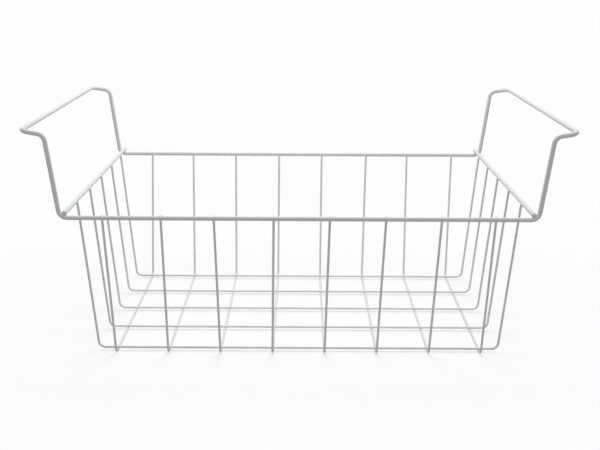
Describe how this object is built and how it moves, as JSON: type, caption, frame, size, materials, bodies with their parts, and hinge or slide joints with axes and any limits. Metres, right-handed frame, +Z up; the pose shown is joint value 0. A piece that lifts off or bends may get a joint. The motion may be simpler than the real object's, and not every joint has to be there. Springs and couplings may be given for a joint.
{
  "type": "hanging wire basket",
  "caption": "Open-topped hanging basket of welded, white-coated steel wire with flared sides and a raised, out-turned handle at each end that hooks over a ledge.",
  "frame": {"origin": "on the surface the basket stands on, under the middle of its floor", "axes": "+X along the basket from the left handle to the right one, +Y from the front rail to the rear rail, +Z up"},
  "size_m": [0.581, 0.3306, 0.2675],
  "materials": {
    "white_coat": "satin white polyethylene powder coat over steel wire"
  },
  "bodies": {
    "root": {"rim_frame": "white_coat", "left_end_rod": "white_coat", "right_end_rod": "white_coat", "cross_wire_1": "white_coat", "cross_wire_2": "white_coat", "cross_wire_3": "white_coat", "cross_wire_4": "white_coat", "cross_wire_5": "white_coat", "cross_wire_6": "white_coat", "cross_wire_7": "white_coat", "cross_wire_8": "white_coat", "long_wire_1": "white_coat", "long_wire_2": "white_coat", "long_wire_3": "white_coat", "long_wire_4": "white_coat", "long_wire_5": "white_coat"}
  },
  "joints": []
}
